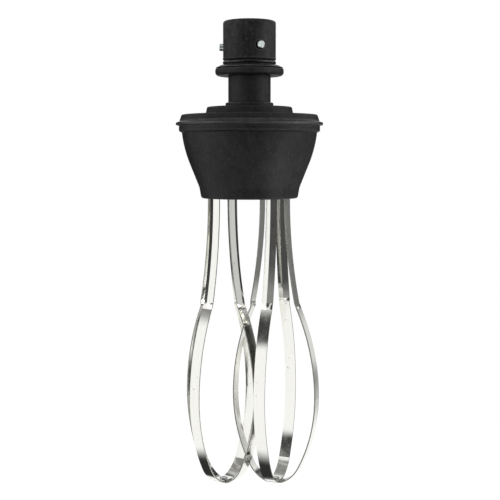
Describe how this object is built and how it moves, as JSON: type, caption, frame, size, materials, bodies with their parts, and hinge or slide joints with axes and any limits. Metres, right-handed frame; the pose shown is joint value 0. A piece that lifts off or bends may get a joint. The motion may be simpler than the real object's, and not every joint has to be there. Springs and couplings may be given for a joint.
{
  "type": "mixer whisk attachment",
  "caption": "Twin balloon whisk attachment for a stick mixer: geared black housing with bayonet coupling spigot, driving counter-turning whisks of riveted steel strip loops.",
  "frame": {"origin": "on the coupling axis, at the flat top of the coupling flange where the motor unit seats", "axes": "+Z along the coupling axis towards the motor unit, +X from the left whisk's axis to the right one's"},
  "size_m": [0.112, 0.112, 0.3558],
  "materials": {
    "body_black": "black moulded plastic with a fine matt texture",
    "lip_rubber": "dark grey seal ring",
    "rubber_black": "black rubber",
    "coupling_plastic": "black engineering plastic",
    "gear_plastic": "natural acetal",
    "strip_steel": "polished stainless strip",
    "rivet_steel": "stainless rivet",
    "pin_steel": "turned steel",
    "shaft_steel": "ground steel",
    "bronze": "sintered bronze"
  },
  "bodies": {
    "gearbox": {"coupling_spigot": "body_black", "bayonet_pins": "pin_steel", "spigot_oring": "rubber_black", "gearbox_cover": "body_black", "housing_seal": "lip_rubber", "gearbox_housing": "body_black", "housing_screws": "pin_steel", "shaft_bush_upper": "bronze", "shaft_bush_lower": "bronze", "spindle_bush_upper_left": "bronze", "spindle_bush_lower_left": "bronze", "spindle_seal_left": "rubber_black", "spindle_bush_upper_right": "bronze", "spindle_bush_lower_right": "bronze", "spindle_seal_right": "rubber_black"},
    "drive": {"drive_shaft": "shaft_steel", "drive_coupling": "coupling_plastic", "coupling_pin": "pin_steel", "drive_pinion": "gear_plastic", "pinion_circlip": "pin_steel"},
    "whisk_left": {"spindle_left": "shaft_steel", "timing_gear_left": "gear_plastic", "circlip_left": "pin_steel", "whisk_hub_left": "body_black", "hub_pin_left": "pin_steel", "hub_rivets_left": "rivet_steel", "strip_inner_left": "strip_steel", "strip_outer_left": "strip_steel", "tip_rivet_left": "rivet_steel", "driven_gear": "gear_plastic"},
    "whisk_right": {"spindle_right": "shaft_steel", "timing_gear_right": "gear_plastic", "circlip_right": "pin_steel", "whisk_hub_right": "body_black", "hub_pin_right": "pin_steel", "hub_rivets_right": "rivet_steel", "strip_inner_right": "strip_steel", "strip_outer_right": "strip_steel", "tip_rivet_right": "rivet_steel", "spindle_spacer": "gear_plastic"}
  },
  "joints": [
    {"name": "whisk_left_spin", "type": "hinge", "parent": "gearbox", "child": "whisk_left", "pos_m": [-0.02025, 0, 0], "axis": [0, 0, 1], "continuous": true},
    {"name": "whisk_right_spin", "type": "hinge", "parent": "gearbox", "child": "whisk_right", "pos_m": [0.02025, 0, 0], "axis": [0, 0, 1], "continuous": true},
    {"name": "drive_spin", "type": "hinge", "parent": "gearbox", "child": "drive", "pos_m": [0, 0, 0], "axis": [0, 0, 1], "continuous": true}
  ],
  "couplings": [
    {"joint": "whisk_right_spin", "follows": "whisk_left_spin", "ratio": -1},
    {"joint": "drive_spin", "follows": "whisk_left_spin", "ratio": -2.5}
  ]
}
